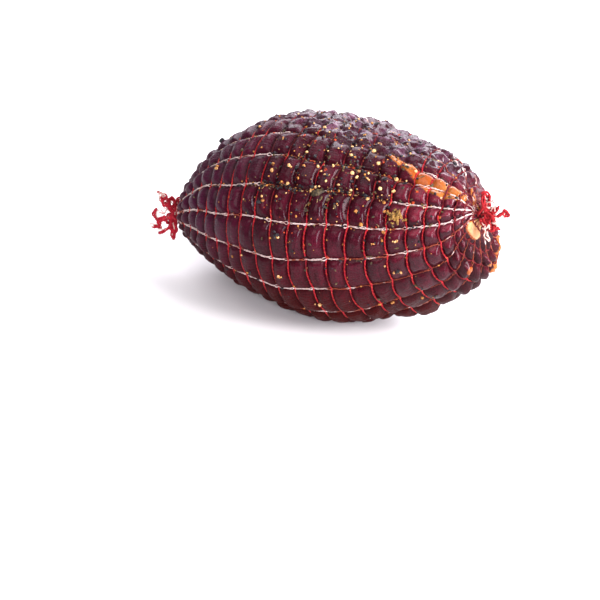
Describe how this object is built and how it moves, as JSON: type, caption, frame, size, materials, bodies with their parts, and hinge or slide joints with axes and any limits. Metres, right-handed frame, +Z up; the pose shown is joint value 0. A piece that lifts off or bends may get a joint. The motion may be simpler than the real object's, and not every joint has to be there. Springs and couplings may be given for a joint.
{
  "type": "cured ham piece",
  "caption": "Air-dried piece of ham in a knitted net, egg-shaped with one blunt end, meat bulging between the strands, spice stuck on top, both net ends gathered.",
  "frame": {"origin": "on the surface the ham lies on, under the middle of the whole piece with its net ends", "axes": "+X along the ham towards its blunt end, +Z up, -Y the side that the picture shows"},
  "size_m": [0.2447, 0.1262, 0.1169],
  "materials": {
    "cured_meat": "dried burgundy meat, satin, wrinkled, with fat patches and cracked spice",
    "net_yarn": "cream lengthwise cords and red elastic hoops, knitted, stained by the meat",
    "net_end_yarn": "frayed red elastic with pale ends, matt"
  },
  "bodies": {
    "root": {"ham": "cured_meat", "net": "net_yarn", "net_tuft_left": "net_end_yarn", "net_tuft_right": "net_end_yarn"}
  },
  "joints": []
}
